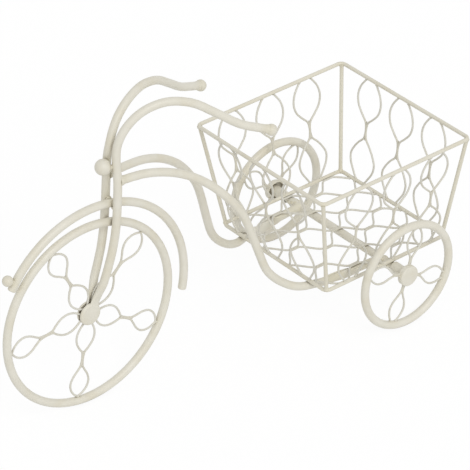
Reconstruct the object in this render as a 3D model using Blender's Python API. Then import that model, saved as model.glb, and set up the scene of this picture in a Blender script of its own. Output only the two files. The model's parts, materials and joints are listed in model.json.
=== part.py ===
# Tricycle planter: three spoked wheels, a curled handlebar and a wire basket.
# Metres, +Z up, front toward -X, left toward -Y, origin on the ground in the middle.
import math

import bmesh
import bpy
from mathutils import Vector

for old in list(bpy.data.objects):
    bpy.data.objects.remove(old, do_unlink=True)

# Stock
ROD_DIA = 0.0087          # fork, handlebar, side rods, mudguard, rails and rear axle
RIM_DIA = 0.0087          # rod bent into the wheel rims
FRAME_DIA = 0.0042        # basket rim, floor frame and corner posts
WIRE_DIA = 0.0022         # spokes and basket mesh
GAP = 0.0003              # left between neighbouring pieces

# Wheels
FRONT_RADIUS = 0.100      # centre of the rim rod
REAR_RADIUS = 0.057       # centre of the rim rod
WHEELBASE = 0.328
FRONT_HUB_RADIUS = 0.007
FRONT_HUB_WIDTH = 0.0028
PIN_RADIUS = 0.0025
CAP_RADIUS = 0.0122
CAP_THICKNESS = 0.0031
CAP_BEVEL = 0.0008
PIN_SEAT = 0.0017         # depth of the pin's hole in each cap
REAR_HUB_RADIUS = 0.0114
REAR_HUB_DEPTH = 0.0069
REAR_HUB_OUTBOARD = 0.0054  # face of the hub, from the middle of the rim
REAR_HUB_WALL = 0.0012
REAR_HUB_FACE = 0.0022
REAR_HUB_BEVEL = 0.0012
SLEEVE_WALL = 0.001
SLEEVE_INBOARD = 0.020    # inner end of the sleeve, from the middle of the rim
SLEEVE_PLAY = 0.0008      # between the sleeve and the basket's floor frame

# Spokes
FRONT_PETAL_HALF = 0.0113
REAR_PETAL_HALF = 0.0098
FRONT_SPOKE_TURNS = (44.5, 115.7, 184.0, 259.0, 330.3)   # degrees from the rear, upward
REAR_SPOKE_TURNS = {"left": (75.0, 158.0, 249.0, 337.0), "right": (58.0, 139.5, 228.0, 322.0)}

# Mudguard
MUDGUARD_CLEARANCE = 0.01065  # between the rim and the mudguard rod, at the top
MUDGUARD_SHIFT = 0.0059   # its centre lies behind the axle
MUDGUARD_LIFT = 0.0047    # and above it
MUDGUARD_REAR_TURN = -13.6
MUDGUARD_FRONT_TURN = 147.8
MUDGUARD_BALL_RADIUS = 0.0056
MUDGUARD_BALL_TURN = 143.5

# Fork and handlebar
FORK_FOOT_TURN = 63.0     # where the fork rod stands on its cap
FORK_RAKE = 0.0354        # head of the fork behind the front axle
CURL_RISE = 0.0991        # top of the curl above the mudguard
HANDLE_REACH = 0.1907     # grips behind the front axle
GRIP_WIDTH = 0.1116       # between the grip balls
GRIP_DROP = 0.0554        # grips below the top of the curl
GRIP_BALL_RADIUS = 0.0061
HEAD_BALL_RADIUS = 0.0083
HEAD_BALL_HEIGHT = 0.0413  # above the mudguard

# Side rods and rails
SIDE_ROD_HEIGHT = 0.0244  # root of the side rod above the mudguard
RAIL_SPREAD = 0.1298       # between the rails at the rear axle
RAIL_FRONT_SPREAD = 0.1172  # between the rails at the front of the basket floor
TAB_LENGTH = 0.0247
TAB_HEIGHT = 0.0122
TAB_THICKNESS = 0.0026
TAB_TAPER = 0.008
TAB_PLACE_SHARE = 0.4243   # middle of the lap, from the front of the floor to the axle

# Basket
TOP_LENGTH = 0.196
TOP_WIDTH = 0.200
FLOOR_LENGTH = 0.161
FLOOR_WIDTH = 0.1654
BASKET_RISE = 0.120       # from the floor frame to the top rim
BASKET_AHEAD = 0.0089     # middle of the floor ahead of the rear axle
TOP_LEAN = 0.0014         # middle of the rim ahead of the middle of the floor
CORNER_RADIUS = 0.006
LOOP_HALF = 0.0185        # half width of the loops in the sides
SIDE_PITCH_SHARE = 0.3137  # spacing of the wire pairs on the long sides, of the floor's length
END_PITCH_SHARE = 0.3053  # and on the front and rear sides, of the floor's width
PAIR_SHIFT = {"left": 0.0032, "right": -0.0050, "front": 0.0008, "rear": 0.0012}
MESH_ROWS = 9
CELL_LENGTH = 0.0284      # spacing of the joints along the floor
JOINT_LENGTH = 0.0085     # how far two floor wires run together
WELD_SINK_SHARE = 0.76    # how close two welded wires lie, of their radius
MESH_OFFSET = 0.003       # middle joint of the floor mesh behind the middle of the floor

ROD_SIDES = 8
WIRE_SIDES = 6
AXLE_SIDES = 12
ROUND_SIDES = 16
FRONT_RIM_STEPS = 44
REAR_RIM_STEPS = 36
MUDGUARD_STEPS = 26
CORNER_STEPS = 3

CREAM = (0.72, 0.68, 0.57, 1.0)
X_AXIS = Vector((1, 0, 0))
Y_AXIS = Vector((0, 1, 0))
Z_AXIS = Vector((0, 0, 1))


# Vertex radius of a polygon whose flats touch the circle
def acrossFlats(radius, sides):
    return radius / math.cos(math.pi / sides)


rodOuter = acrossFlats(ROD_DIA / 2, ROD_SIDES)
rimOuter = acrossFlats(RIM_DIA / 2, ROD_SIDES)
frameOuter = acrossFlats(FRAME_DIA / 2, ROD_SIDES)
axleOuter = acrossFlats(ROD_DIA / 2, AXLE_SIDES)
wireTurn = 2 * math.pi / WIRE_SIDES
wireOuter = WIRE_DIA / 2 * math.sqrt(wireTurn / math.sin(wireTurn))   # keeps the round wire's area
wirePair = wireOuter * WELD_SINK_SHARE   # half spacing of two wires welded side by side

# Heights and places that follow from the sizes
frontAxleZ = FRONT_RADIUS + RIM_DIA / 2
rearAxleZ = REAR_RADIUS + RIM_DIA / 2
floorZ = rearAxleZ + ROD_DIA / 2 + GAP + FRAME_DIA / 2
topZ = floorZ + BASKET_RISE
floorX = WHEELBASE - BASKET_AHEAD
topX = floorX - TOP_LEAN
halfTrack = FLOOR_WIDTH / 2 + FRAME_DIA / 2 + SLEEVE_PLAY + SLEEVE_INBOARD
mudguardRise = FRONT_RADIUS + (RIM_DIA + ROD_DIA) / 2 + MUDGUARD_CLEARANCE
mudguardRadius = mudguardRise - MUDGUARD_LIFT
foremost = -FRONT_RADIUS - RIM_DIA / 2
rearmost = max(topX + TOP_LENGTH / 2 + FRAME_DIA / 2, WHEELBASE + REAR_RADIUS + RIM_DIA / 2)
frontAxle = Vector((-(foremost + rearmost) / 2, 0, frontAxleZ))
rearAxle = frontAxle + Vector((WHEELBASE, 0, rearAxleZ - frontAxleZ))
ground = Vector((frontAxle.x, 0, 0))    # below the front axle


def makeNode(name, bm, parent=None, place=None, roughness=0.45, colour=CREAM):
    bmesh.ops.recalc_face_normals(bm, faces=bm.faces)
    mesh = bpy.data.meshes.new(name)
    bm.to_mesh(mesh)
    bm.free()
    for face in mesh.polygons:
        face.use_smooth = True
    mesh.set_sharp_from_angle(angle=math.radians(70))
    material = bpy.data.materials.new(name + "_paint")
    material.use_nodes = True
    shader = material.node_tree.nodes["Principled BSDF"]
    shader.inputs["Base Color"].default_value = colour
    shader.inputs["Roughness"].default_value = roughness
    shader.inputs["Metallic"].default_value = 0.0
    mesh.materials.append(material)
    node = bpy.data.objects.new(name, mesh)
    bpy.context.scene.collection.objects.link(node)
    if parent:
        node.parent = parent
    if place:
        node.location = place
    return node


def makeEmpty(name, place):
    empty = bpy.data.objects.new(name, None)
    empty.location = place
    bpy.context.scene.collection.objects.link(empty)
    return empty


# A rod along a path; its flats face the across direction, and every bend is mitred
def addTube(bm, path, radius, sides, across, closed=False, shapes=None):
    count = len(path)
    rings = []
    for i, point in enumerate(path):
        ahead = path[(i + 1) % count] - point if closed or i < count - 1 else point - path[i - 1]
        behind = point - path[i - 1] if closed or i > 0 else ahead
        ahead, behind = ahead.normalized(), behind.normalized()
        along = (ahead + behind).normalized()
        side = (across - along * across.dot(along)).normalized()
        up = along.cross(side)
        bend = ahead - behind
        stretch = 1 / max(along.dot(ahead), 0.5) - 1
        ring = []
        for k in range(sides):
            turn = (k + 0.5) * 2 * math.pi / sides
            reach = side * radius * math.cos(turn) + up * radius * math.sin(turn)
            if shapes and shapes[i]:
                reach = side * shapes[i][k][0] + up * shapes[i][k][1]
            elif bend.length > 1e-6:
                mitre = bend.normalized()
                reach = reach + mitre * reach.dot(mitre) * stretch
            ring.append(bm.verts.new(point + reach))
        rings.append(ring)
    spans = count if closed else count - 1
    for i in range(spans):
        here, there = rings[i], rings[(i + 1) % count]
        for k in range(sides):
            m = (k + 1) % sides
            bm.faces.new((here[k], here[m], there[m], there[k]))
    if not closed:
        bm.faces.new(rings[0])
        bm.faces.new(rings[-1])


# A profile of (radius, place along Y) turned about the Y axis
def addTurned(bm, profile, sides, hand=1):
    rings = []
    for radius, place in profile:
        if radius == 0:
            rings.append([bm.verts.new((0, hand * place, 0))])
            continue
        ring = []
        for k in range(sides):
            turn = (k + 0.5) * 2 * math.pi / sides
            ring.append(bm.verts.new((radius * math.cos(turn), hand * place, radius * math.sin(turn))))
        rings.append(ring)
    hollow = len(rings[0]) > 1
    for i in range(len(rings) if hollow else len(rings) - 1):
        here, there = rings[i], rings[(i + 1) % len(rings)]
        for k in range(sides):
            m = (k + 1) % sides
            if len(here) == 1:
                bm.faces.new((here[0], there[m], there[k]))
            elif len(there) == 1:
                bm.faces.new((here[k], here[m], there[0]))
            else:
                bm.faces.new((here[k], here[m], there[m], there[k]))


def makeBall(name, radius, place, columns, rows, parent=None):
    bm = bmesh.new()
    bmesh.ops.create_uvsphere(bm, u_segments=columns, v_segments=rows, radius=radius)
    return makeNode(name, bm, parent=parent, place=place)


# How far the corner of a slanting wire's end stands ahead of its middle
def slantedEnd(run, spread):
    return wireOuter * abs(spread) / math.hypot(run, spread)


# Wires welded to their neighbours where they run side by side: every second path is in the other half
def makeWires(name, paths, across, parent=None, place=None):
    halves = []
    for group in (paths[0::2], paths[1::2]):
        bm = bmesh.new()
        for path in group:
            addTube(bm, path, wireOuter, WIRE_SIDES, across)
        halves.append(makeNode(name, bm))
    node, mate = halves
    weld = node.modifiers.new("weld", "BOOLEAN")
    weld.operation = "UNION"
    weld.solver = "EXACT"
    weld.object = mate
    welded = bpy.data.meshes.new_from_object(node.evaluated_get(bpy.context.evaluated_depsgraph_get()))
    bm = bmesh.new()
    bm.from_mesh(welded)
    bmesh.ops.remove_doubles(bm, verts=bm.verts, dist=GAP / 100)
    bm.to_mesh(welded)
    bm.free()
    node.modifiers.clear()
    node.data = welded
    bpy.data.objects.remove(mate, do_unlink=True)
    node.parent = parent
    if place:
        node.location = place
    return node


# Smooth curve through the points, with more steps where it turns more
def curveThrough(points, stepTurn=14):
    lengths = [(points[i + 1] - points[i]).length for i in range(len(points) - 1)]
    slopes = []
    for i in range(len(points)):
        if i == 0:
            slopes.append((points[1] - points[0]) / lengths[0])
        elif i == len(points) - 1:
            slopes.append((points[-1] - points[-2]) / lengths[-1])
        else:
            before = (points[i] - points[i - 1]) / lengths[i - 1]
            after = (points[i + 1] - points[i]) / lengths[i]
            slopes.append((before * lengths[i] + after * lengths[i - 1]) / (lengths[i] + lengths[i - 1]))
    path = [points[0]]
    for i, length in enumerate(lengths):
        chord = points[i + 1] - points[i]
        turn = math.degrees(slopes[i].angle(chord) + slopes[i + 1].angle(chord))
        steps = max(1, math.ceil(turn / stepTurn))
        for s in range(1, steps + 1):
            t = s / steps
            start = 2 * t ** 3 - 3 * t ** 2 + 1
            leave = t ** 3 - 2 * t ** 2 + t
            arrive = t ** 3 - t ** 2
            path.append(points[i] * start + points[i + 1] * (1 - start)
                        + slopes[i] * length * leave + slopes[i + 1] * length * arrive)
    return path


def turned(turnDegrees):
    return Vector((math.cos(math.radians(turnDegrees)), 0, math.sin(math.radians(turnDegrees))))


# Rims: a flat of the ring lies on the ground
def makeRim(name, radius, steps, parent):
    bm = bmesh.new()
    corner = acrossFlats(radius, steps)
    path = [turned(-90 + (i + 0.5) * 360 / steps) * corner for i in range(steps)]
    addTube(bm, path, rimOuter, ROD_SIDES, Y_AXIS, closed=True)
    return makeNode(name, bm, parent=parent)


# Spokes: two wires side by side that open into petals
frontSpokeShares = ((0, 0.095), (0.054, 0.467), (0.13, 0.85), (0.205, 0.99), (0.287, 0.87), (0.369, 0.447),
                    (0.439, 0), (0.590, 0), (0.660, 0.326), (0.736, 0.779), (0.824, 1), (0.905, 0.839),
                    (0.964, 0.467), (1, 0.035))
rearSpokeShares = ((0, 0), (0.177, 0), (0.32, 0.336), (0.477, 0.787), (0.659, 1), (0.842, 0.81), (1, 0.384))


def makeSpokes(name, hubRadius, rimRadius, petalHalf, turns, spokeShares, parent):
    reach = rimRadius - RIM_DIA / 2 - hubRadius
    opening = petalHalf - wirePair
    footRun = [spokeShares[1][0] * reach, (spokeShares[1][1] - spokeShares[0][1]) * opening]
    tipRun = [(1 - spokeShares[-2][0]) * reach, (spokeShares[-2][1] - spokeShares[-1][1]) * opening]
    foot = hubRadius + GAP + slantedEnd(*footRun)
    tip = rimRadius - RIM_DIA / 2 - GAP - slantedEnd(*tipRun)
    for number, turn in enumerate(turns, start=1):
        outward = turned(turn)
        sideways = turned(turn + 90)
        paths = [[outward * (foot + (tip - foot) * alongShare)
                  + sideways * hand * (wirePair + opening * openShare)
                  for alongShare, openShare in spokeShares] for hand in (-1, 1)]
        makeWires(name + "_" + str(number), paths, Y_AXIS, parent=parent)


# Front wheel between its two caps
frontWheel = makeEmpty("front_wheel", frontAxle)
makeRim("front_rim", FRONT_RADIUS, FRONT_RIM_STEPS, frontWheel)
makeSpokes("front_spoke", FRONT_HUB_RADIUS, FRONT_RADIUS, FRONT_PETAL_HALF, FRONT_SPOKE_TURNS,
           frontSpokeShares, frontWheel)
pinHole = acrossFlats(PIN_RADIUS + GAP, ROUND_SIDES)
hubHalf = FRONT_HUB_WIDTH / 2
hubBevel = CAP_BEVEL / 2
bm = bmesh.new()
addTurned(bm, ((pinHole, -hubHalf), (FRONT_HUB_RADIUS - hubBevel, -hubHalf),
               (FRONT_HUB_RADIUS, hubBevel - hubHalf), (FRONT_HUB_RADIUS, hubHalf - hubBevel),
               (FRONT_HUB_RADIUS - hubBevel, hubHalf), (pinHole, hubHalf)), ROUND_SIDES)
makeNode("front_hub", bm, parent=frontWheel)

capInner = hubHalf + GAP
capOuter = capInner + CAP_THICKNESS
pinEnd = capInner + PIN_SEAT
for side, hand in (("left", -1), ("right", 1)):
    bm = bmesh.new()
    addTurned(bm, ((0, pinEnd + GAP), (pinHole, pinEnd + GAP), (pinHole, capInner),
                   (CAP_RADIUS - hubBevel, capInner), (CAP_RADIUS, capInner + hubBevel),
                   (CAP_RADIUS, capOuter - CAP_BEVEL), (CAP_RADIUS - CAP_BEVEL, capOuter), (0, capOuter)),
              ROUND_SIDES, hand)
    makeNode("fork_cap_" + side, bm, place=frontAxle)
bm = bmesh.new()
addTurned(bm, ((0, -pinEnd), (PIN_RADIUS, -pinEnd), (PIN_RADIUS, pinEnd), (0, pinEnd)), ROUND_SIDES)
makeNode("front_axle_pin", bm, place=frontAxle, roughness=0.35)

# Rear wheels: a cup hub and a sleeve that turn on the ends of the axle
sleeveBore = acrossFlats(axleOuter + GAP, ROUND_SIDES)
sleeveOuter = sleeveBore + SLEEVE_WALL
hubFaceInner = REAR_HUB_OUTBOARD - REAR_HUB_FACE
for side, hand in (("left", -1), ("right", 1)):
    wheel = makeEmpty("rear_wheel_" + side, rearAxle + Y_AXIS * hand * halfTrack)
    makeRim("rear_rim_" + side, REAR_RADIUS, REAR_RIM_STEPS, wheel)
    makeSpokes("rear_spoke_" + side, REAR_HUB_RADIUS, REAR_RADIUS, REAR_PETAL_HALF, REAR_SPOKE_TURNS[side],
               rearSpokeShares, wheel)
    bm = bmesh.new()
    lip = REAR_HUB_OUTBOARD - REAR_HUB_DEPTH
    cupInner = REAR_HUB_RADIUS - REAR_HUB_WALL
    addTurned(bm, ((0, hubFaceInner), (cupInner, hubFaceInner), (cupInner, lip), (REAR_HUB_RADIUS, lip),
                   (REAR_HUB_RADIUS, REAR_HUB_OUTBOARD - REAR_HUB_BEVEL),
                   (REAR_HUB_RADIUS - REAR_HUB_BEVEL, REAR_HUB_OUTBOARD), (0, REAR_HUB_OUTBOARD)),
              ROUND_SIDES, hand)
    makeNode("rear_hub_" + side, bm, parent=wheel)
    bm = bmesh.new()
    addTurned(bm, ((sleeveBore, -SLEEVE_INBOARD), (sleeveOuter, -SLEEVE_INBOARD),
                   (sleeveOuter, hubFaceInner - GAP), (sleeveBore, hubFaceInner - GAP)), ROUND_SIDES, hand)
    makeNode("rear_sleeve_" + side, bm, parent=wheel)
axleHalf = halfTrack + hubFaceInner - 2 * GAP
bm = bmesh.new()
addTube(bm, [Y_AXIS * -axleHalf, Y_AXIS * axleHalf], axleOuter, AXLE_SIDES, Z_AXIS)
makeNode("rear_axle", bm, place=rearAxle)

# Mudguard: an arc of rod with a ball near its front end
mudguardCentre = frontAxle + X_AXIS * MUDGUARD_SHIFT + Z_AXIS * MUDGUARD_LIFT
bm = bmesh.new()
arc = []
for i in range(MUDGUARD_STEPS + 1):
    sweep = (MUDGUARD_FRONT_TURN - MUDGUARD_REAR_TURN) * i / MUDGUARD_STEPS
    arc.append(turned(MUDGUARD_REAR_TURN + sweep) * mudguardRadius)
addTube(bm, arc, rodOuter, ROD_SIDES, Y_AXIS)
makeNode("mudguard_rod", bm, place=mudguardCentre)
ballReach = mudguardRadius + rodOuter + GAP + MUDGUARD_BALL_RADIUS
ballPlace = mudguardCentre + turned(MUDGUARD_BALL_TURN) * ballReach
makeBall("mudguard_ball", MUDGUARD_BALL_RADIUS, ballPlace, 12, 8)

# Fork rods: each runs up from its cap, past the rim and the mudguard, and curls into the handlebar
forkStand = rodOuter + max(ROD_DIA, RIM_DIA) / 2 + GAP    # clears the rim and touches the mudguard
forkPair = rodOuter + GAP / 2
curlTop = frontAxleZ + mudguardRise + CURL_RISE
footStandShare = 0.33
# rake, stand and height of the leg, the height up to the mudguard
legShares = ((0.424, 0.63, 0.2955), (0.689, 0.83, 0.5253), (0.862, 1.02, 0.7701), (0.946, 1.03, 1.0238))
# rake, stand and height of the head, the height from the mudguard to the top of the curl
headShares = ((0.989, 0.95, 0.2555), (1, 0.54, 0.4573))
# reach, spread and height of the curl
curlShares = ((0.0184, 0.0185, 0.6229), (0.0547, 0.042, 0.7501), (0.1070, 0.086, 0.8551),
              (0.1729, 0.138, 0.9329), (0.3297, 0.2826, 1), (0.4981, 0.4524, 0.9359),
              (0.6484, 0.636, 0.7703), (0.7933, 0.817, 0.5947))


def forkRoute():
    foot = turned(FORK_FOOT_TURN) * (CAP_RADIUS + GAP)
    points = [Vector((foot.x, forkPair + (forkStand - forkPair) * footStandShare, frontAxleZ + foot.z))]
    for rakeShare, standShare, riseShare in legShares:
        points.append(Vector((FORK_RAKE * rakeShare, forkPair + (forkStand - forkPair) * standShare,
                              frontAxleZ + mudguardRise * riseShare)))
    for rakeShare, standShare, riseShare in headShares:
        points.append(Vector((FORK_RAKE * rakeShare, forkPair + (forkStand - forkPair) * standShare,
                              frontAxleZ + mudguardRise + CURL_RISE * riseShare)))
    for reachShare, spreadShare, riseShare in curlShares:
        points.append(Vector((FORK_RAKE + (HANDLE_REACH - FORK_RAKE) * reachShare,
                              forkPair + (GRIP_WIDTH / 2 - forkPair) * spreadShare,
                              frontAxleZ + mudguardRise + CURL_RISE * riseShare)))
    grip = Vector((HANDLE_REACH, GRIP_WIDTH / 2, curlTop - GRIP_DROP))
    points.append(grip + (points[-1] - grip).normalized() * (GRIP_BALL_RADIUS + GAP))
    return curveThrough(points), grip


# Place on the leg at a height, between the points of the route
def forkAt(route, height):
    for low, high in zip(route, route[1:]):
        if low.z <= height <= high.z:
            return low.lerp(high, (height - low.z) / (high.z - low.z))
    return route[0]


def mirrored(path, hand):
    return [Vector((point.x, point.y * hand, point.z)) for point in path]


forkPath, gripPlace = forkRoute()
for side, hand in (("left", -1), ("right", 1)):
    bm = bmesh.new()
    addTube(bm, mirrored(forkPath, hand), rodOuter, ROD_SIDES, Y_AXIS)
    makeNode("fork_rod_" + side, bm, place=ground)
    makeBall("grip_ball_" + side, GRIP_BALL_RADIUS, ground + mirrored([gripPlace], hand)[0], 12, 8)
headZ = frontAxleZ + mudguardRise + HEAD_BALL_HEIGHT
nearHead = forkAt(forkPath, headZ)
headReach = HEAD_BALL_RADIUS + rodOuter + GAP
headX = nearHead.x - math.sqrt(headReach ** 2 - nearHead.y ** 2)
makeBall("head_ball", HEAD_BALL_RADIUS, ground + Vector((headX, 0, headZ)), 16, 10)

# Side rods: from the back of the fork down to the rails, where their flattened ends lap
sideRodRoot = forkAt(forkPath, frontAxleZ + mudguardRise + SIDE_ROD_HEIGHT) + X_AXIS * (rodOuter + GAP)
floorFront = floorX - FLOOR_LENGTH / 2
railFront = Vector((floorFront, RAIL_FRONT_SPREAD / 2, rearAxleZ))
railRear = Vector((WHEELBASE, RAIL_SPREAD / 2, rearAxleZ))
railRun = (railRear - railFront).normalized()
tabDrop = (TAB_HEIGHT - ROD_DIA) / 2     # keeps the top of the lap level with the rail
tabCentre = railFront.lerp(railRear, TAB_PLACE_SHARE) - Z_AXIS * tabDrop
taperStart = tabCentre - railRun * (TAB_LENGTH / 2 + TAB_TAPER) + Z_AXIS * tabDrop
# along, outward and down from the root to the start of the flattened end
sideRodShares = ((0.1076, 0.0432, 0.0080), (0.2114, 0.1217, 0.0340), (0.3144, 0.2062, 0.0857),
                 (0.4189, 0.3042, 0.1705), (0.5234, 0.4632, 0.3017), (0.5925, 0.5417, 0.4276),
                 (0.6333, 0.5958, 0.5622), (0.6667, 0.6492, 0.6961), (0.7110, 0.6968, 0.8353),
                 (0.7878, 0.7624, 0.9344), (0.8419, 0.8177, 0.9772), (0.8991, 0.8729, 0.9987),
                 (0.9375, 0.9222, 1.0000), (0.9745, 0.9735, 1.0000))
drop = taperStart - sideRodRoot
sideRodPoints = [sideRodRoot]
for alongShare, outShare, downShare in sideRodShares:
    sideRodPoints.append(sideRodRoot + Vector((drop.x * alongShare, drop.y * outShare, drop.z * downShare)))
sideRodPoints.append(taperStart)

tabBevel = TAB_THICKNESS / 4
tabOffset = (TAB_THICKNESS + GAP) / 2
tabOut = Z_AXIS.cross(railRun)          # outward across the rail


# Cross-section of the flattened end, in the order of the rod's own corners
def tabShape(height):
    a, b = TAB_THICKNESS / 2, height / 2
    bevel = min(tabBevel, b / 2)
    return [(a, b - bevel), (a - tabBevel, b), (tabBevel - a, b), (-a, b - bevel),
            (-a, bevel - b), (tabBevel - a, -b), (a - tabBevel, -b), (a, bevel - b)]


lapSides = len(tabShape(TAB_HEIGHT))
lapOuter = acrossFlats(ROD_DIA / 2, lapSides)
roundShape = [(lapOuter * math.cos((k + 0.5) * 2 * math.pi / lapSides),
               lapOuter * math.sin((k + 0.5) * 2 * math.pi / lapSides)) for k in range(lapSides)]


# Adds the taper and the rounded tab to a rod that ends at the start of the taper
def addTab(path, shapes, run, offset):
    middle = tabCentre + tabOut * offset
    begin = middle - run * TAB_LENGTH / 2
    path.append(begin)
    shapes.append(tabShape(TAB_HEIGHT))
    radius = TAB_HEIGHT / 2
    for turn in (0, 35, 60, 80):
        path.append(begin + run * (TAB_LENGTH - radius + radius * math.sin(math.radians(turn))))
        shapes.append(tabShape(TAB_HEIGHT * math.cos(math.radians(turn))))


sideRodPath = curveThrough(sideRodPoints)
sideRodForms = [None] * (len(sideRodPath) - 1) + [roundShape]
addTab(sideRodPath, sideRodForms, railRun, -tabOffset)

splay = abs(railRun.y)
railPath = [railRear - railRun * (axleOuter + GAP + rodOuter * splay),
            tabCentre + railRun * (TAB_LENGTH / 2 + TAB_TAPER) + Z_AXIS * tabDrop]
railForms = [roundShape, roundShape]
addTab(railPath, railForms, -railRun, tabOffset)
for side, hand in (("left", -1), ("right", 1)):
    bm = bmesh.new()
    addTube(bm, mirrored(sideRodPath, hand), lapOuter, lapSides, Y_AXIS, shapes=sideRodForms)
    makeNode("frame_rod_" + side, bm, place=ground)
    bm = bmesh.new()
    addTube(bm, mirrored(railPath, hand), lapOuter, lapSides, Y_AXIS, shapes=railForms)
    makeNode("rear_rail_" + side, bm, place=ground)


# Basket: two wire loops with rounded corners, four posts, and paired wires between
def loopCorners(length, width):
    half = Vector((length / 2, width / 2, 0))
    return [Vector((half.x * a, half.y * b, 0)) for a, b in ((1, 1), (-1, 1), (-1, -1), (1, -1))]


def loopPath(length, width):
    path = []
    for i, corner in enumerate(loopCorners(length, width)):
        inward = Vector((-math.copysign(CORNER_RADIUS, corner.x), -math.copysign(CORNER_RADIUS, corner.y), 0))
        for s in range(CORNER_STEPS + 1):
            turn = math.radians(90 * i + 90 * s / CORNER_STEPS)
            path.append(corner + inward + CORNER_RADIUS * Vector((math.cos(turn), math.sin(turn), 0)))
    return path


basketFloor = Vector((ground.x + floorX, 0, floorZ))
basketTop = Vector((ground.x + topX, 0, topZ))
for name, length, width, place in (("basket_top_rim", TOP_LENGTH, TOP_WIDTH, basketTop),
                                   ("basket_floor_frame", FLOOR_LENGTH, FLOOR_WIDTH, basketFloor)):
    bm = bmesh.new()
    addTube(bm, loopPath(length, width), frameOuter, ROD_SIDES, Z_AXIS, closed=True)
    makeNode(name, bm, place=place)

cornerNames = ("rear_right", "front_right", "front_left", "rear_left")
cornerInset = 1 - math.sqrt(0.5)        # from the sharp corner to the middle of its arc
floorCorners, topCorners = loopCorners(FLOOR_LENGTH, FLOOR_WIDTH), loopCorners(TOP_LENGTH, TOP_WIDTH)
inset = CORNER_RADIUS * cornerInset
for name, low, high in zip(cornerNames, floorCorners, topCorners):
    inward = Vector((-math.copysign(inset, low.x), -math.copysign(inset, low.y), 0))
    start = basketFloor + low + inward
    end = basketTop + high + inward
    rise = (end - start).normalized()
    seat = frameOuter + GAP + frameOuter * math.sqrt(1 - rise.z ** 2)
    bm = bmesh.new()
    addTube(bm, [rise * seat, end - start - rise * seat], frameOuter, ROD_SIDES, Y_AXIS)
    makeNode("post_" + name, bm, place=start)

# How far down the side and how wide open each wire of a pair is
sideWireShares = ((0, 0.26), (0.080, 0.76), (0.185, 1), (0.275, 0.80), (0.350, 0.42), (0.425, 0),
                  (0.560, 0), (0.635, 0.42), (0.705, 0.76), (0.790, 1), (0.870, 0.92), (0.940, 0.66),
                  (1, 0.40))
sidePlaces = {
    "left": (Vector((0, -1, 0)), X_AXIS, TOP_WIDTH, FLOOR_WIDTH, ("front", "middle", "rear")),
    "right": (Vector((0, 1, 0)), X_AXIS, TOP_WIDTH, FLOOR_WIDTH, ("front", "middle", "rear")),
    "front": (Vector((-1, 0, 0)), Y_AXIS, TOP_LENGTH, FLOOR_LENGTH, ("left", "middle", "right")),
    "rear": (Vector((1, 0, 0)), Y_AXIS, TOP_LENGTH, FLOOR_LENGTH, ("left", "middle", "right")),
}
for side, (outward, sideways, topSpan, floorSpan, pairNames) in sidePlaces.items():
    hang = basketTop + outward * topSpan / 2
    land = basketFloor + outward * floorSpan / 2
    land.x = hang.x if outward.x == 0 else land.x     # the pairs of the long sides hang straight down
    slope = (land - hang).normalized()
    length = (land - hang).length
    firstRun = (sideWireShares[1][0] - sideWireShares[0][0]) * length
    firstOpen = (sideWireShares[1][1] - sideWireShares[0][1]) * LOOP_HALF
    lastRun = (sideWireShares[-1][0] - sideWireShares[-2][0]) * length
    lastOpen = (sideWireShares[-1][1] - sideWireShares[-2][1]) * LOOP_HALF
    topSeat = frameOuter + GAP + slantedEnd(firstRun, firstOpen)
    floorSeat = frameOuter + GAP + slantedEnd(lastRun, lastOpen)
    pitch = FLOOR_LENGTH * SIDE_PITCH_SHARE if outward.x == 0 else FLOOR_WIDTH * END_PITCH_SHARE
    for number, pairName in enumerate(pairNames, start=-1):
        paths = []
        for hand in (-1, 1):
            path = []
            for downShare, openShare in sideWireShares:
                down = topSeat + (length - topSeat - floorSeat) * downShare
                apart = wirePair + (LOOP_HALF - wirePair) * openShare
                path.append(slope * down + sideways * (number * pitch + PAIR_SHIFT[side] + hand * apart))
            paths.append(path)
        makeWires(side + "_side_wires_" + pairName, paths, sideways, place=hang)

# Floor mesh: wavy wires that touch their neighbours by turns, like a honeycomb
rowPitch = FLOOR_WIDTH / (MESH_ROWS - 1)
jointHalfShare = JOINT_LENGTH / 2 / CELL_LENGTH
bendShares = (jointHalfShare, 0.38, 0.62, 1 - jointHalfShare)    # points of a wire between two joints
firstColumn = -math.ceil((FLOOR_LENGTH / 2 + MESH_OFFSET) / CELL_LENGTH)


def jointY(wire, column):
    row = wire if (wire + column) % 2 == 0 else wire + 1
    inward = 1 if row == wire else -1
    atFrame = row in (0, MESH_ROWS - 1)
    apart = frameOuter + GAP + wireOuter if atFrame else wirePair
    return row * rowPitch - FLOOR_WIDTH / 2 + inward * apart


def meshY(wire, x):
    columns = (x - MESH_OFFSET) / CELL_LENGTH
    column = math.floor(columns)
    t = (columns - column - jointHalfShare) / (1 - 2 * jointHalfShare)
    t = min(max(t, 0), 1)
    blend = t * t * (3 - 2 * t)
    return jointY(wire, column) * (1 - blend) + jointY(wire, column + 1) * blend


stopX = FLOOR_LENGTH / 2 - frameOuter - GAP - wireOuter * math.sqrt(0.5)
meshPaths = []
for wire in range(MESH_ROWS - 1):
    places = [-stopX]
    for column in range(firstColumn, -firstColumn + 1):
        for share in bendShares:
            x = MESH_OFFSET + (column + share) * CELL_LENGTH
            if WIRE_DIA - stopX < x < stopX - WIRE_DIA:
                places.append(x)
    places.append(stopX)
    meshPaths.append([Vector((x, meshY(wire, x), 0)) for x in places])
meshPlace = basketFloor + Z_AXIS * (wireOuter - FRAME_DIA / 2)    # level with the bottom of the frame
makeWires("floor_mesh", meshPaths, Y_AXIS, place=meshPlace)

print("built", len([o for o in bpy.data.objects if o.type == "MESH"]), "nodes")
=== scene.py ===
import json
import math

import bmesh
import bpy
from mathutils import Matrix, Vector, kdtree, noise

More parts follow.
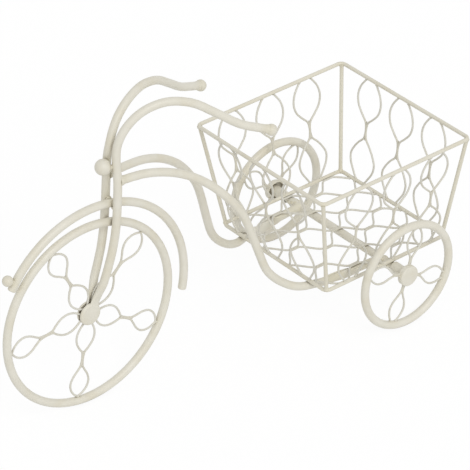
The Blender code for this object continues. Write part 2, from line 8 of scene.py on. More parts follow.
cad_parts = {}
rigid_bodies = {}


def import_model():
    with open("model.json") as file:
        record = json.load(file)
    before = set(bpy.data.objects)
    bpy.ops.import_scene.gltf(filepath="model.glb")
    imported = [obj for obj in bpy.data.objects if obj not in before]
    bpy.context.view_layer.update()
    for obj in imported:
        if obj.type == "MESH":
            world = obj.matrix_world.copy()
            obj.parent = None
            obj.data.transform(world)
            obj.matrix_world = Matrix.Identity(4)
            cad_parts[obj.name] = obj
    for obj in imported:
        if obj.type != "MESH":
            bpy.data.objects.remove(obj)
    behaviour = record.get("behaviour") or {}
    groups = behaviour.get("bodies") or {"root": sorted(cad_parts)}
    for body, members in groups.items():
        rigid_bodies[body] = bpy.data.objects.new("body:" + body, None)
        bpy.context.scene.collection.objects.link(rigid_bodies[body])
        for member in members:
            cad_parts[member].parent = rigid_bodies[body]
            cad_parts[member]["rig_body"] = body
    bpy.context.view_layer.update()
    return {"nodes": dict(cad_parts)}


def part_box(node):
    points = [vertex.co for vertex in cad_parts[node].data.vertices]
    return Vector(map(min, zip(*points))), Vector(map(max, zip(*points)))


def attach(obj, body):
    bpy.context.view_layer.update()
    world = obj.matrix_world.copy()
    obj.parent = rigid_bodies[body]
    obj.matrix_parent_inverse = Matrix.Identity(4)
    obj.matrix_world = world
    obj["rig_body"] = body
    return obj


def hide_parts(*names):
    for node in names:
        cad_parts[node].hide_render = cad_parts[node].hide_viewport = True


for leftover in list(bpy.data.objects):
    bpy.data.objects.remove(leftover, do_unlink=True)
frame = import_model()
print("frame loaded:", len(frame["nodes"]), "nodes")

# Metres throughout. Front is -X, left is -Y, the wheels stand on z = 0
alongX, alongY, alongZ = Vector((1, 0, 0)), Vector((0, 1, 0)), Vector((0, 0, 1))
hands = (("left", -1), ("right", 1))

stock = {
    "rod": 0.00435,        # radius of the fork, side rods, mudguard, rails and axle
    "rim": 0.00435,        # radius of the rod in the wheel rims
    "basket": 0.0021,      # radius of the basket's rim, floor frame and posts
    "wire": 0.0011,        # radius of the spokes and the mesh
    "pair": 0.00092,       # half spacing of two wires welded side by side
    "seat": 0.0003,        # how far the solids stand off each other
    "rodSides": 28,
    "wireSides": 14,
}


def boxMiddle(node):
    low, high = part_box(node)
    return (low + high) / 2


frontAxle = boxMiddle("front_rim")
rearAxle = boxMiddle("rear_axle")
basketFloor = boxMiddle("basket_floor_frame")
basketTop = boxMiddle("basket_top_rim")
ground = Vector((frontAxle.x, 0, 0))     # under the front axle


# The solids' rods have flats, so their corners stand this far out
def cornerOf(radius, flats=8):
    return radius / math.cos(math.pi / flats)


rodCorner = cornerOf(stock["rod"])
basketCorner = cornerOf(stock["basket"])
axleCorner = cornerOf(stock["rod"], 12)
boreFlats = 16
# a wire's solid has six flats and the area of the round wire
wireCorner = stock["wire"] * math.sqrt((math.pi / 3) / math.sin(math.pi / 3))
# the weld in the groove between two paired wires, half width and half height
webWidth = stock["pair"] * 1.05
webThick = stock["wire"] * 0.78


# Paint
def addNode(material, kind, **values):
    node = material.node_tree.nodes.new(kind)
    for name, value in values.items():
        label = name.replace("_", " ")
        if label in node.inputs:
            node.inputs[label].default_value = value
        else:
            setattr(node, name, value)
    return node


# Stops are places with a colour or a grey level
def setRamp(node, stops):
    ramp = node.color_ramp
    while len(ramp.elements) < len(stops):
        ramp.elements.new(0.5)
    for element, (place, colour) in zip(ramp.elements, stops):
        element.position = place
        shade = colour if isinstance(colour, tuple) else (colour,) * 3
        element.color = (*shade, 1)


creamPaint = {
    "pale": (0.786, 0.758, 0.666),
    "plain": (0.754, 0.724, 0.624),
    "warm": (0.732, 0.690, 0.570),
    "weldTint": (0.680, 0.625, 0.445),   # painted shade: the paint turns darker and warmer round a weld, where parts meet
    "scuffTint": (0.800, 0.785, 0.730),
    "cloud": 34,             # cloudiness of the colour, per metre
    "cloudStops": (0.34, 0.50, 0.66),    # where it turns warm, plain and pale
    "rub": 204,              # rubbed spots, per metre
    "rubRamp": ((0.62, 0), (0.74, 0.5)),
    "peel": 1500,            # orange peel, per metre
    "peelDepth": 0.00004,
    "nib": 620,              # dust nibs under the paint, per metre
    "nibDepth": 0.00012,
    "nibRamp": ((0.06, 1), (0.17, 0)),
    "smooth": 0.30,
    "dull": 0.46,
    "coat": 0.05,
    "coatRoughness": 0.22,
    "specular": 0.35,
    "ior": 1.48,
    "crevice": (0.200, 0.160, 0.095),    # painted shade where two rods nearly touch
    "creviceReach": 0.0062,
    "creviceRamp": ((0.14, 0.95), (0.36, 0.36), (0.66, 0)),    # openness, and how dark it makes the place
}
# On the wires the paint is set darker and greyer than on the rods
thinPaint = {**creamPaint, "pale": (0.736, 0.718, 0.645), "plain": (0.704, 0.684, 0.608),
             "warm": (0.682, 0.654, 0.566), "weldTint": (0.655, 0.616, 0.490),
             "cloud": 60, "rub": 360, "peel": 2600, "peelDepth": 0.00002, "nib": 1400, "nibDepth": 0.00005}


def makePaint(name, paint):
    material = bpy.data.materials.new(name)
    material.use_nodes = True
    link = material.node_tree.links.new
    shader = material.node_tree.nodes["Principled BSDF"]
    shader.inputs["Metallic"].default_value = 0
    shader.inputs["IOR"].default_value = paint["ior"]
    shader.inputs["Coat Weight"].default_value = paint["coat"]
    shader.inputs["Coat Roughness"].default_value = paint["coatRoughness"]
    shader.inputs["Specular IOR Level"].default_value = paint["specular"]
    place = addNode(material, "ShaderNodeTexCoord")

    cloud = addNode(material, "ShaderNodeTexNoise", Scale=paint["cloud"], Detail=5, Roughness=0.6)
    link(place.outputs["Object"], cloud.inputs["Vector"])
    tint = addNode(material, "ShaderNodeValToRGB")
    setRamp(tint, tuple(zip(paint["cloudStops"], (paint["warm"], paint["plain"], paint["pale"]))))
    link(cloud.outputs["Fac"], tint.inputs["Fac"])

    # painted shade round the welds, spread by the colour cloud
    near = addNode(material, "ShaderNodeAttribute", attribute_name="nearWeld")
    weldShaded = addNode(material, "ShaderNodeMix", data_type="RGBA")
    weldShaded.inputs["B"].default_value = (*paint["weldTint"], 1)
    weldShadeShare = addNode(material, "ShaderNodeMath", operation="MULTIPLY")
    link(near.outputs["Fac"], weldShadeShare.inputs[0])
    link(cloud.outputs["Fac"], weldShadeShare.inputs[1])
    link(weldShadeShare.outputs[0], weldShaded.inputs["Factor"])
    link(tint.outputs["Color"], weldShaded.inputs["A"])

    # rubbed places, small and scattered
    rub = addNode(material, "ShaderNodeTexNoise", Scale=paint["rub"], Detail=8, Roughness=0.75)
    link(place.outputs["Object"], rub.inputs["Vector"])
    rubbed = addNode(material, "ShaderNodeValToRGB")
    setRamp(rubbed, paint["rubRamp"])
    link(rub.outputs["Fac"], rubbed.inputs["Fac"])
    worn = addNode(material, "ShaderNodeMix", data_type="RGBA")
    worn.inputs["B"].default_value = (*paint["scuffTint"], 1)
    link(rubbed.outputs["Color"], worn.inputs["Factor"])
    link(weldShaded.outputs["Result"], worn.inputs["A"])
    # painted shade: the colour darkens toward the crevice colour where other surfaces close in
    tucked = addNode(material, "ShaderNodeAmbientOcclusion", samples=6)
    tucked.inputs["Distance"].default_value = paint["creviceReach"]
    creviceShadeAmount = addNode(material, "ShaderNodeValToRGB")
    setRamp(creviceShadeAmount, paint["creviceRamp"])
    link(tucked.outputs["AO"], creviceShadeAmount.inputs["Fac"])
    creviceShaded = addNode(material, "ShaderNodeMix", data_type="RGBA")
    creviceShaded.inputs["B"].default_value = (*paint["crevice"], 1)
    link(creviceShadeAmount.outputs["Color"], creviceShaded.inputs["Factor"])
    link(worn.outputs["Result"], creviceShaded.inputs["A"])
    link(creviceShaded.outputs["Result"], shader.inputs["Base Color"])

    gloss = addNode(material, "ShaderNodeMapRange", To_Min=paint["smooth"], To_Max=paint["dull"])
    link(rub.outputs["Fac"], gloss.inputs["Value"])
    link(gloss.outputs["Result"], shader.inputs["Roughness"])

    peel = addNode(material, "ShaderNodeTexNoise", Scale=paint["peel"], Detail=2, Roughness=0.5)
    link(place.outputs["Object"], peel.inputs["Vector"])
    peeled = addNode(material, "ShaderNodeBump", Strength=0.6, Distance=paint["peelDepth"])
    link(peel.outputs["Fac"], peeled.inputs["Height"])
    nib = addNode(material, "ShaderNodeTexVoronoi", Scale=paint["nib"], Randomness=1)
    link(place.outputs["Object"], nib.inputs["Vector"])
    dust = addNode(material, "ShaderNodeValToRGB")
    setRamp(dust, paint["nibRamp"])
    link(nib.outputs["Distance"], dust.inputs["Fac"])
    nibbed = addNode(material, "ShaderNodeBump", Strength=0.5, Distance=paint["nibDepth"])
    link(dust.outputs["Color"], nibbed.inputs["Height"])
    link(peeled.outputs["Normal"], nibbed.inputs["Normal"])
    link(nibbed.outputs["Normal"], shader.inputs["Normal"])
    return material


rodPaint = makePaint("cream_rod_paint", creamPaint)
wirePaint = makePaint("cream_wire_paint", thinPaint)
print("paints mixed")

weldPlaces = []          # the middle of each weld and the reach of the tint round it
paintedPieces = []
# reach in metres, or as a share of the weld's own size
tintReach = {"foot": 0.009, "grip": 0.006, "root": 0.007, "rail": 0.008,
             "rodShare": 2.2, "saddleShare": 1.6, "beadShare": 1.3, "webShare": 0.7}
sharpTurn = 48           # degrees from which an edge is drawn sharp


# Turns a mesh into a piece that rides with the node it stands for
def finishPiece(name, bm, material, slot, *nodes, body=None):
    bmesh.ops.recalc_face_normals(bm, faces=bm.faces)
    mesh = bpy.data.meshes.new(name)
    bm.to_mesh(mesh)
    bm.free()
    for face in mesh.polygons:
        face.use_smooth = True
    mesh.set_sharp_from_angle(angle=math.radians(sharpTurn))
    mesh.materials.append(material)
    piece = bpy.data.objects.new(name, mesh)
    bpy.context.scene.collection.objects.link(piece)
    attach(piece, body or frame["nodes"][nodes[0]]["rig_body"])
    if nodes:
        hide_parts(*nodes)
    paintedPieces.append(piece)


def finishRod(bm, node):
    finishPiece("painted_" + node, bm, rodPaint, "painted_rod", node)


def finishWire(bm, node):
    finishPiece("painted_" + node, bm, wirePaint, "painted_wire", node)


# Smooth curve through the points, with a new step for every few degrees of turn
def smoothRoute(points, stepTurn=4):
    lengths = [(points[i + 1] - points[i]).length for i in range(len(points) - 1)]
    slopes = [(points[1] - points[0]) / lengths[0]]
    for i in range(1, len(points) - 1):
        before = (points[i] - points[i - 1]) / lengths[i - 1]
        after = (points[i + 1] - points[i]) / lengths[i]
        slopes.append((before * lengths[i] + after * lengths[i - 1]) / (lengths[i] + lengths[i - 1]))
    slopes.append((points[-1] - points[-2]) / lengths[-1])
    route = [points[0]]
    for i, length in enumerate(lengths):
        chord = points[i + 1] - points[i]
        turn = math.degrees(slopes[i].angle(chord) + slopes[i + 1].angle(chord))
        steps = max(1, math.ceil(turn / stepTurn))
        for s in range(1, steps + 1):
            t = s / steps
            start = 2 * t ** 3 - 3 * t ** 2 + 1
            leave = t ** 3 - 2 * t ** 2 + t
            arrive = t ** 3 - t ** 2
            route.append(points[i] * start + points[i + 1] * (1 - start)
                         + slopes[i] * length * leave + slopes[i + 1] * length * arrive)
    return route


# Joins rings of points into a skin; open ends are capped
def skinRings(bm, rings, closed=False):
    made = [[bm.verts.new(point) for point in ring] for ring in rings]
    count = len(made[0])
    for i in range(len(made) if closed else len(made) - 1):
        here, there = made[i], made[(i + 1) % len(made)]
        for k in range(count):
            m = (k + 1) % count
            bm.faces.new((here[k], here[m], there[m], there[k]))
    if not closed:
        bm.faces.new(made[0])
        bm.faces.new(made[-1])


def circle(radius):
    return lambda turn: (radius * math.cos(turn), radius * math.sin(turn))


# Rounded flat shape: half thickness, half height, and how square it is
def flatShape(thick, high, square):
    def at(turn):
        c, s = math.cos(turn), math.sin(turn)
        power = 2 / square
        return (math.copysign(thick * abs(c) ** power, c), math.copysign(high * abs(s) ** power, s))
    return at


# The round rod pressed flat by this share, from 0 to 1; a square of 2 is round
def pressedShape(thick, high, square, share):
    rod = stock["rod"]
    return flatShape(rod + (thick - rod) * share, rod + (high - rod) * share, 2 + (square - 2) * share)


# Sweeps a shape along a route, with its first axis toward across
def sweep(bm, route, shapes, ringSides, across, closed=False):
    rings = []
    count = len(route)
    for i, point in enumerate(route):
        ahead = route[(i + 1) % count] - point if closed or i < count - 1 else point - route[i - 1]
        behind = point - route[i - 1] if closed or i > 0 else ahead
        along = (ahead.normalized() + behind.normalized()).normalized()
        side = (across - along * across.dot(along)).normalized()
        up = along.cross(side)
        ring = []
        for k in range(ringSides):
            a, b = shapes[i](2 * math.pi * k / ringSides)
            ring.append(point + side * a + up * b)
        rings.append(ring)
    skinRings(bm, rings, closed)


# An end that is cut off, with its edge rounded
def cutEnd(edge):
    return {"kind": "cut", "edge": edge}


# An end that runs on into its neighbour, with a fillet of weld: from the solid's end to the
# neighbour's skin, how deep it goes in, how far the fillet spreads, and how far it climbs
def weldedEnd(gap, sink, spread, climb):
    return {"kind": "weld", "gap": gap, "sink": sink, "spread": spread, "climb": climb}


filletSteps = (0, 0.06, 0.14, 0.24, 0.36, 0.5, 0.66, 0.82, 1)


# Marks along the first part of a rod as (length from its end, radius)
def endMarks(end, radius):
    if end["kind"] == "cut":
        return [(end["edge"] * (1 - math.cos(math.radians(turn))),
                 radius - end["edge"] * (1 - math.sin(math.radians(turn)))) for turn in range(0, 91, 15)]
    marks = [(-end["gap"] - end["sink"], radius + end["spread"])]
    for share in filletSteps:
        marks.append((end["climb"] * share - end["gap"], radius + end["spread"] * (1 - share) ** 2.2))
    return marks


# A round rod along a route with the two ends given
def addRod(bm, route, radius, ringSides, across, startEnd, finalEnd):
    lengths = [0]
    for a, b in zip(route, route[1:]):
        lengths.append(lengths[-1] + (b - a).length)
    total = lengths[-1]
    first = endMarks(startEnd, radius)
    last = [(total - length, r) for length, r in reversed(endMarks(finalEnd, radius))]
    marks = first + [(length, radius) for length in lengths
                     if first[-1][0] + radius / 8 < length < last[0][0] - radius / 8] + last
    points, shapes, i = [], [], 0
    for length, r in marks:
        while i < len(route) - 2 and lengths[i + 1] < length:
            i += 1
        share = (length - lengths[i]) / (lengths[i + 1] - lengths[i])
        points.append(route[i] + (route[i + 1] - route[i]) * share)
        shapes.append(circle(r))
    sweep(bm, points, shapes, ringSides, across)
    for end, place in ((startEnd, points[0]), (finalEnd, points[-1])):
        if end["kind"] == "weld":
            weldPlaces.append((place, radius * tintReach["rodShare"]))


# A circle of points round the axle through place
def turnedCircle(place, radius, y, ringSides, hand):
    return [place + Vector((radius * math.cos(2 * math.pi * k / ringSides), hand * y,
                            radius * math.sin(2 * math.pi * k / ringSides))) for k in range(ringSides)]


# A turned piece whose profile of (radius, place along Y) closes on itself
def addTurnedRing(bm, place, profile, ringSides, hand=1):
    rings = [turnedCircle(place, radius, y, ringSides, hand) for radius, y in profile[:-1]]
    skinRings(bm, rings, closed=True)


# A turned piece that closes on the axle at both ends of its profile
def addTurnedSolid(bm, place, profile, ringSides, hand=1):
    poles = [bm.verts.new(place + Vector((0, hand * profile[i][1], 0))) for i in (0, -1)]
    made = [[bm.verts.new(point) for point in turnedCircle(place, radius, y, ringSides, hand)]
            for radius, y in profile[1:-1]]
    for k in range(ringSides):
        m = (k + 1) % ringSides
        bm.faces.new((poles[0], made[0][m], made[0][k]))
        bm.faces.new((poles[1], made[-1][k], made[-1][m]))
        for here, there in zip(made, made[1:]):
            bm.faces.new((here[k], here[m], there[m], there[k]))


# Quarter circle from one side of a corner to the other, in a profile
def roundCorner(radius, y, inward, along, size, steps=5):
    middle = (radius + inward * size, y + along * size)
    return [(middle[0] - inward * size * math.cos(math.radians(90 * s / steps)),
             middle[1] - along * size * math.sin(math.radians(90 * s / steps))) for s in range(steps + 1)]


# Outer face that swells a little toward its middle, from the edge inward
def domedFace(radius, y, swell, steps=6):
    return [(radius * (1 - s / steps), y + swell * (1 - (1 - s / steps) ** 2)) for s in range(1, steps + 1)]


# Weld under the paint: how far its waist draws in, how lumpy it is, and how finely it is drawn
weldLook = {"waist": 0.28, "saddleLump": 0.07, "beadLump": 0.13, "saddleRows": 9, "saddleSides": 36,
            "webSteps": 12, "webSides": 12, "webSquare": 2.4}


# Height of a round skin above its highest line, seen from the weld
def skinHeight(kind, radius, axis, u, v, x, y):
    if kind == "ball":
        off = x * x + y * y
    else:
        offset = x * axis.dot(v) - y * axis.dot(u)
        off = offset * offset
    return radius - math.sqrt(max(radius * radius - off, radius * radius * 0.04))


# The waist of weld between two round skins that touch at place, seen along normal
def addSaddle(bm, place, normal, above, below, reach, seed, gap):
    u = normal.orthogonal().normalized()
    v = normal.cross(u)
    rings = []
    rows, columns = weldLook["saddleRows"], weldLook["saddleSides"]
    for row in range(rows):
        t = row / (rows - 1)
        ring = []
        for k in range(columns):
            turn = 2 * math.pi * k / columns
            lump = noise.noise(Vector((math.cos(turn) * 1.3, math.sin(turn) * 1.3, seed * 2.7)))
            out = reach * (1 + weldLook["saddleLump"] * lump)
            x, y = out * math.cos(turn), out * math.sin(turn)
            high = gap / 2 + skinHeight(*above, u, v, x, y) + stock["seat"] / 3
            low = -gap / 2 - skinHeight(*below, u, v, x, y) - stock["seat"] / 3
            drawn = 1 - weldLook["waist"] * math.sin(math.pi * t) ** 0.8
            ring.append(place + (u * x + v * y) * drawn + normal * (low + (high - low) * t))
        rings.append(ring)
    skinRings(bm, rings)
    weldPlaces.append((place, reach * tintReach["saddleShare"]))


# A lumpy bead, as a short weld looks under paint
def addBead(bm, place, axes, halves, seed):
    made = bmesh.ops.create_icosphere(bm, subdivisions=3, radius=1)
    for vertex in made["verts"]:
        unit = vertex.co.copy()
        lump = 1 + weldLook["beadLump"] * noise.noise(unit * 1.6 + seed * Vector((3.1, 1.7, 0.9)))
        vertex.co = place.copy()
        for axis, half, amount in zip(axes, halves, unit):
            vertex.co += axis * half * amount * lump
    weldPlaces.append((place, max(halves) * tintReach["beadShare"]))


# The weld that fills the groove between two wires, from start to stop
def addWeb(bm, start, stop, across, width, thick):
    steps = weldLook["webSteps"]
    route, shapes = [], []
    for s in range(steps + 1):
        t = s / steps
        full = math.sin(math.pi * (0.04 + 0.92 * t)) ** 0.35
        route.append(start.lerp(stop, t))
        shapes.append(flatShape(width * full, thick * full, weldLook["webSquare"]))
    sweep(bm, route, shapes, weldLook["webSides"], across)
    weldPlaces.append(((start + stop) / 2, (stop - start).length * tintReach["webShare"]))


# From 0 to 1 with a soft start and stop
def eased(t):
    return t * t * (3 - 2 * t)


def turned(turnDegrees):
    return Vector((math.cos(math.radians(turnDegrees)), 0, math.sin(math.radians(turnDegrees))))


# Rods are laid out for the right side; on the left, where hand is -1, they are mirrored
def mirror(point, hand):
    return Vector((point.x, point.y * hand, point.z))


def mirrored(points, hand):
    return [mirror(point, hand) for point in points]


# Wheels
frontWheel = {
    "radius": 0.100, "rimSteps": 176, "rimSides": 28,
    "hubRadius": 0.007, "hubWidth": 0.0028, "hubSides": 56, "bevel": 0.0004,
    "pinRadius": 0.0025, "pinEndRadius": 0.0020, "pinSeat": 0.0017, "pinSides": 40,
    "petalHalf": 0.0113, "spokeTurns": (44.5, 115.7, 184.0, 259.0, 330.3),
    # along the spoke and how far open, as shares
    "spokeShares": ((0, 0.095), (0.054, 0.467), (0.13, 0.85), (0.205, 0.99), (0.287, 0.87), (0.369, 0.447),
                    (0.430, 0.03), (0.450, 0), (0.579, 0), (0.599, 0.03), (0.660, 0.326), (0.736, 0.779),
                    (0.824, 1), (0.905, 0.839), (0.964, 0.467), (1, 0.035)),
    "weldShares": (0.405, 0.624),
}
rearWheel = {
    "radius": 0.057, "rimSteps": 128, "rimSides": 28,
    "hubRadius": 0.0114, "hubDepth": 0.0069, "hubOutboard": 0.0054, "hubWall": 0.0012, "hubFace": 0.0022,
    "hubSides": 64, "edge": 0.0019, "edgeSteps": 8, "dome": 0.0005, "lipEdge": 0.00048,
    "sleeveWall": 0.001, "sleeveInboard": 0.020, "sleeveEdge": 0.000333, "sleeveSides": 48,
    "axleEdge": 0.0006,
    "petalHalf": 0.0098,
    "spokeTurns": {"left": (75.0, 158.0, 249.0, 337.0), "right": (58.0, 139.5, 228.0, 322.0)},
    "spokeShares": ((0, 0), (0.161, 0), (0.187, 0.02), (0.32, 0.336), (0.477, 0.787), (0.659, 1),
                    (0.842, 0.81), (1, 0.384)),
    "weldShares": (0, 0.223),
}
# welds of a spoke's wires: how deep they go in, how far they spread and how far they climb
spokeWelds = {"foot": (0.0009, 0.00025, 0.0012), "tip": (0.0009, 0.00055, 0.0019)}


def buildRim(node, middle, wheel):
    bm = bmesh.new()
    steps = wheel["rimSteps"]
    route = [middle + turned(360 * i / steps) * wheel["radius"] for i in range(steps)]
    sweep(bm, route, [circle(stock["rim"])] * steps, wheel["rimSides"], alongY, closed=True)
    finishRod(bm, node)


# What a wire's end needs beyond its middle line, because it leaves at a slant
def slantedEnd(first, second, length, opening):
    run = (second[0] - first[0]) * length
    spread = (second[1] - first[1]) * opening
    return wireCorner * abs(spread) / math.hypot(run, spread)


def buildSpokes(stem, middle, wheel, turns):
    shares = wheel["spokeShares"]
    reach = wheel["radius"] - stock["rim"] - wheel["hubRadius"]
    opening = wheel["petalHalf"] - stock["pair"]
    foot = wheel["hubRadius"] + stock["seat"] + slantedEnd(*shares[:2], reach, opening)
    tip = wheel["radius"] - stock["rim"] - stock["seat"] - slantedEnd(*shares[-2:], reach, opening)
    footGap = foot - wheel["hubRadius"]
    tipGap = wheel["radius"] - stock["rim"] - tip
    for number, turn in enumerate(turns, start=1):
        outward, sideways = turned(turn), turned(turn + 90)
        bm = bmesh.new()
        for hand in (-1, 1):
            points = [middle + outward * (foot + (tip - foot) * along)
                      + sideways * hand * (stock["pair"] + opening * openness) for along, openness in shares]
            addRod(bm, smoothRoute(points), stock["wire"], stock["wireSides"], alongY,
                   weldedEnd(footGap, *spokeWelds["foot"]), weldedEnd(tipGap, *spokeWelds["tip"]))
        start, stop = (middle + outward * (foot + (tip - foot) * share) for share in wheel["weldShares"])
        addWeb(bm, start, stop, sideways, webWidth, webThick)
        finishWire(bm, stem + "_" + str(number))


buildRim("front_rim", frontAxle, frontWheel)
buildSpokes("front_spoke", frontAxle, frontWheel, frontWheel["spokeTurns"])
for side, hand in hands:
    middle = boxMiddle("rear_rim_" + side)
    buildRim("rear_rim_" + side, middle, rearWheel)
    buildSpokes("rear_spoke_" + side, middle, rearWheel, rearWheel["spokeTurns"][side])


def buildFrontHub(wheel):
    bore = cornerOf(wheel["pinRadius"] + stock["seat"], boreFlats)
    half, radius, bevel = wheel["hubWidth"] / 2, wheel["hubRadius"], wheel["bevel"]
    profile = [(bore, -half)]
    profile += reversed(roundCorner(radius, -half, -1, 1, bevel))
    profile += roundCorner(radius, half, -1, -1, bevel)
    profile += [(bore, half), (bore, -half)]
    bm = bmesh.new()
    addTurnedRing(bm, frontAxle, profile, wheel["hubSides"])
    finishRod(bm, "front_hub")


# play is what is left between a cap and the hub
forkCap = {"radius": 0.0122, "thick": 0.0031, "edge": 0.0023, "edgeSteps": 9, "innerEdge": 0.0004,
           "swell": 0.0002, "play": 0.00008, "sides": 64}


def buildForkCaps(cap, wheel):
    bore = cornerOf(wheel["pinRadius"] + stock["seat"], boreFlats)
    inner = wheel["hubWidth"] / 2 + cap["play"]
    outer = wheel["hubWidth"] / 2 + stock["seat"] + cap["thick"]
    pinHalf = wheel["hubWidth"] / 2 + stock["seat"] + wheel["pinSeat"]
    floor = pinHalf + stock["seat"]
    for side, hand in hands:
        profile = [(0, floor), (bore, floor), (bore, inner)]
        profile += reversed(roundCorner(cap["radius"], inner, -1, 1, cap["innerEdge"]))
        profile += roundCorner(cap["radius"], outer - cap["swell"], -1, -1, cap["edge"], cap["edgeSteps"])
        profile += domedFace(cap["radius"] - cap["edge"], outer - cap["swell"], cap["swell"])
        bm = bmesh.new()
        addTurnedSolid(bm, frontAxle, profile, cap["sides"], hand)
        finishRod(bm, "fork_cap_" + side)
    bm = bmesh.new()
    pin, pinEnd, bevelled = wheel["pinRadius"], wheel["pinEndRadius"], pinHalf - wheel["bevel"]
    profile = [(0, -pinHalf), (pinEnd, -pinHalf), (pin, -bevelled),
               (pin, bevelled), (pinEnd, pinHalf), (0, pinHalf)]
    addTurnedSolid(bm, frontAxle, profile, wheel["pinSides"])
    finishPiece("painted_front_axle_pin", bm, rodPaint, "axle_pin", "front_axle_pin")


# Cup, sleeve and axle of the rear wheels
def buildRearHubs(wheel):
    sleeveBore = cornerOf(axleCorner + stock["seat"], boreFlats)
    faceInner = wheel["hubOutboard"] - wheel["hubFace"]
    lip = wheel["hubOutboard"] - wheel["hubDepth"]
    radius, outer = wheel["hubRadius"], wheel["hubOutboard"]
    cupInner = radius - wheel["hubWall"]
    for side, hand in hands:
        middle = boxMiddle("rear_rim_" + side)
        profile = [(0, faceInner), (cupInner, faceInner), (cupInner, lip)]
        profile += reversed(roundCorner(radius, lip, -1, 1, wheel["lipEdge"]))
        profile += roundCorner(radius, outer - wheel["dome"], -1, -1, wheel["edge"], wheel["edgeSteps"])
        profile += domedFace(radius - wheel["edge"], outer - wheel["dome"], wheel["dome"])
        bm = bmesh.new()
        addTurnedSolid(bm, middle, profile, wheel["hubSides"], hand)
        finishRod(bm, "rear_hub_" + side)
        sleeve = sleeveBore + wheel["sleeveWall"]
        profile = [(sleeveBore, -wheel["sleeveInboard"])]
        profile += reversed(roundCorner(sleeve, -wheel["sleeveInboard"], -1, 1, wheel["sleeveEdge"]))
        profile += [(sleeve, faceInner), (sleeveBore, faceInner), (sleeveBore, -wheel["sleeveInboard"])]
        bm = bmesh.new()
        addTurnedRing(bm, middle, profile, wheel["sleeveSides"], hand)
        finishRod(bm, "rear_sleeve_" + side)
    low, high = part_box("rear_axle")
    bm = bmesh.new()
    ends = [Vector((rearAxle.x, y, rearAxle.z)) for y in (low.y, high.y)]
    end = cutEnd(wheel["axleEdge"])
    addRod(bm, ends, stock["rod"], stock["rodSides"], alongZ, end, end)
    finishRod(bm, "rear_axle")


buildFrontHub(frontWheel)
buildForkCaps(forkCap, frontWheel)
buildRearHubs(rearWheel)
print("wheels and hubs built")

# Mudguard rod with its ball
mudguard = {
    "clearance": 0.01065, "shift": 0.0059, "lift": 0.0047, "rearTurn": -13.6, "frontTurn": 147.8,
    "steps": 150, "endEdge": 0.0014, "ball": 0.0056, "ballWeld": 0.0031,
}
mudguardRise = frontWheel["radius"] + stock["rim"] + stock["rod"] + mudguard["clearance"]
mudguardRadius = mudguardRise - mudguard["lift"]
mudguardMiddle = frontAxle + alongX * mudguard["shift"] + alongZ * mudguard["lift"]


def addBall(bm, place, radius):
    made = bmesh.ops.create_uvsphere(bm, u_segments=48, v_segments=32, radius=radius)
    for vertex in made["verts"]:
        vertex.co += place


def buildMudguard(guard):
    sweepTurn = guard["frontTurn"] - guard["rearTurn"]
    turns = [guard["rearTurn"] + sweepTurn * i / guard["steps"] for i in range(guard["steps"] + 1)]
    arc = [mudguardMiddle + turned(turn) * mudguardRadius for turn in turns]
    bm = bmesh.new()
    end = cutEnd(guard["endEdge"])
    addRod(bm, arc, stock["rod"], stock["rodSides"], alongY, end, end)
    finishRod(bm, "mudguard_rod")
    ballPlace = boxMiddle("mudguard_ball")
    bm = bmesh.new()
    addBall(bm, ballPlace, guard["ball"])
    finishRod(bm, "mudguard_ball")
    outward = (ballPlace - mudguardMiddle).normalized()
    along = outward.cross(alongY)
    touch = mudguardMiddle + outward * (mudguardRadius + stock["rod"])
    gap = (ballPlace - touch).length - guard["ball"]
    bm = bmesh.new()
    addSaddle(bm, touch + outward * gap / 2, outward, ("ball", guard["ball"], alongY),
              ("rod", stock["rod"], along), guard["ballWeld"], 1, gap)
    return bm


frameWelds = buildMudguard(mudguard)

# Fork rods that curl into the handlebar
fork = {
    "footTurn": 63.0, "rake": 0.0354, "curlRise": 0.0991, "reach": 0.1907, "gripWidth": 0.1116,
    "gripDrop": 0.0554, "gripBall": 0.0061, "headBall": 0.0083, "footStandShare": 0.33, "sides": 36,
    # reach of the welds on the head ball and on the mudguard
    "headWeld": 0.0031, "guardWeld": 0.0027,
    # beads above and below the weld on the mudguard: height, seed and half sizes
    "guardBeads": ((0.0024, 11, (0.0033, 0.0027, 0.0020)), (-0.0030, 13, (0.0028, 0.0022, 0.0017))),
    # gap, depth, spread and climb of the weld on the grip ball
    "gripWeld": (0.0002, 0.0022, 0.0004, 0.0016),
    # rake, stand and height of the leg, the height up to the mudguard
    "legShares": ((0.424, 0.63, 0.2955), (0.689, 0.83, 0.5253), (0.862, 1.02, 0.7701),
                  (0.946, 1.03, 1.0238)),
    # rake, stand and height of the head, the height from the mudguard to the top of the curl
    "headShares": ((0.989, 0.95, 0.2555), (1, 0.54, 0.4573)),
    # reach, spread and height of the curl
    "curlShares": ((0.0184, 0.0185, 0.6229), (0.0547, 0.042, 0.7501), (0.1070, 0.086, 0.8551),
                   (0.1729, 0.138, 0.9329), (0.3297, 0.2826, 1), (0.4981, 0.4524, 0.9359),
                   (0.6484, 0.636, 0.7703), (0.7933, 0.817, 0.5947)),
}
sideView = Vector((1, 0, 1))     # takes the part across out of a place
forkStand = rodCorner + stock["rod"] + stock["seat"]
forkPair = rodCorner + stock["seat"] / 2
guardTop = frontAxle.z + mudguardRise


